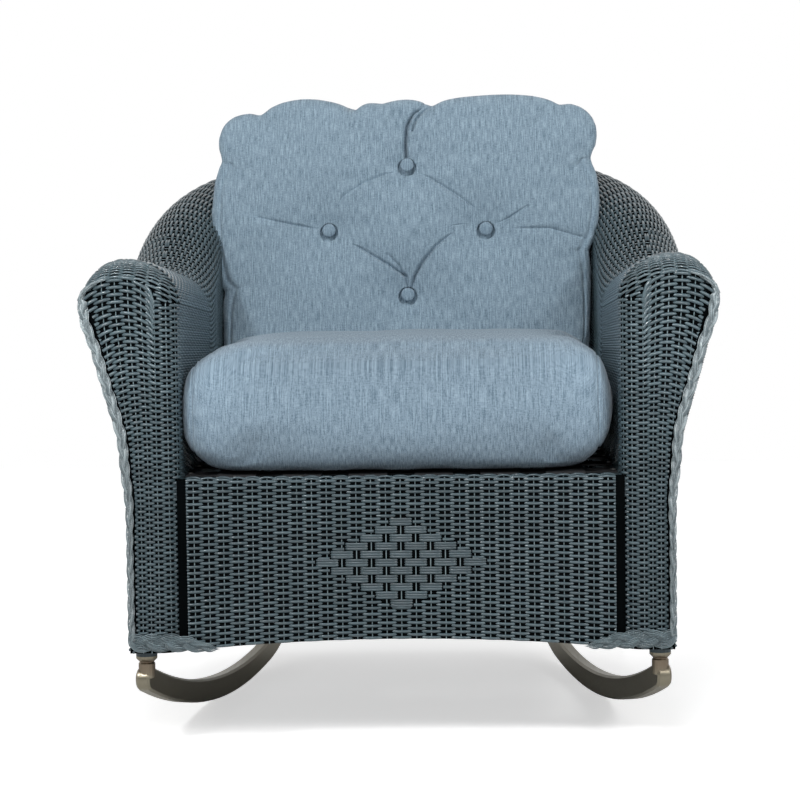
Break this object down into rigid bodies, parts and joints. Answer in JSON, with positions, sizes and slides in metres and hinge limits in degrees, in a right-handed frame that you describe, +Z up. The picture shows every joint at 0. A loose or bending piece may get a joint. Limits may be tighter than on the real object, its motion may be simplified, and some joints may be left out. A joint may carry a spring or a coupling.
{
  "type": "outdoor rocking chair",
  "caption": "Woven lounge rocker with rolled arms, a round back, loose seat and tufted back cushions, and two bent bar runners.",
  "frame": {"origin": "on the floor under the middle of the chair's box, at the runners' lowest level", "axes": "+X to the sitter's left as seen from the front, +Y towards the back, +Z up"},
  "size_m": [0.818, 0.8684, 0.8826],
  "materials": {
    "weave": "satin woven strand, slate teal",
    "braid": "satin plaited strand, slate teal",
    "cushion_fabric": "slub weave, blue grey",
    "button_fabric": "slub weave, blue grey",
    "twine": "waxed twine",
    "webbing": "flat elastic webbing",
    "runner_metal": "satin pewter",
    "frame_tube": "painted to match the weave",
    "rod_steel": "painted to match the weave",
    "rivet": "plain"
  },
  "bodies": {
    "frame": {"apron_rod": "rod_steel", "apron_weave": "weave", "arm_braid_left": "braid", "arm_braid_right": "braid", "arm_crest_weave_left": "weave", "arm_crest_weave_right": "weave", "arm_front_weave_left": "weave", "arm_front_weave_right": "weave", "arm_inner_weave_left": "weave", "arm_inner_weave_right": "weave", "arm_outer_weave_left": "weave", "arm_outer_weave_right": "weave", "arm_tube_left": "frame_tube", "arm_tube_right": "frame_tube", "back_crest_weave": "weave", "back_inner_weave": "weave", "back_outer_weave": "weave", "back_rim_tube": "frame_tube", "corner_crest_weave_left": "weave", "corner_crest_weave_right": "weave", "corner_inner_weave_left": "weave", "corner_inner_weave_right": "weave", "corner_outer_weave_left": "weave", "corner_outer_weave_right": "weave", "foot_braid_left": "braid", "foot_braid_right": "braid", "leg_foot_plugs": "runner_metal", "rear_post_left": "frame_tube", "rear_post_right": "frame_tube", "rear_rail_bracket_left": "frame_tube", "rear_rail_bracket_right": "frame_tube", "runner_left": "runner_metal", "runner_right": "runner_metal", "seat_rail_corner_left": "frame_tube", "seat_rail_corner_right": "frame_tube", "seat_rail_front": "frame_tube", "seat_rail_rear": "frame_tube", "seat_rail_side_left": "frame_tube", "seat_rail_side_right": "frame_tube", "seat_straps_cross": "webbing", "seat_straps_long": "webbing", "skirt_rod_left": "rod_steel", "skirt_rod_right": "rod_steel", "strap_rivets": "rivet"},
    "seat_cushion": {"seat_cushion": "cushion_fabric"},
    "back_cushion": {"back_cushion": "cushion_fabric", "tuft_buttons": "button_fabric", "rear_tuft_buttons": "button_fabric", "tuft_ties": "twine"}
  },
  "joints": [
    {"name": "seat_cushion_lift", "type": "slide", "parent": "frame", "child": "seat_cushion", "axis": [0, -0.94, 0.3412], "range_m": [0, 0.6]},
    {"name": "back_cushion_lift", "type": "slide", "parent": "frame", "child": "back_cushion", "axis": [0, 0.1774, 0.9841], "range_m": [0, 0.5]}
  ]
}
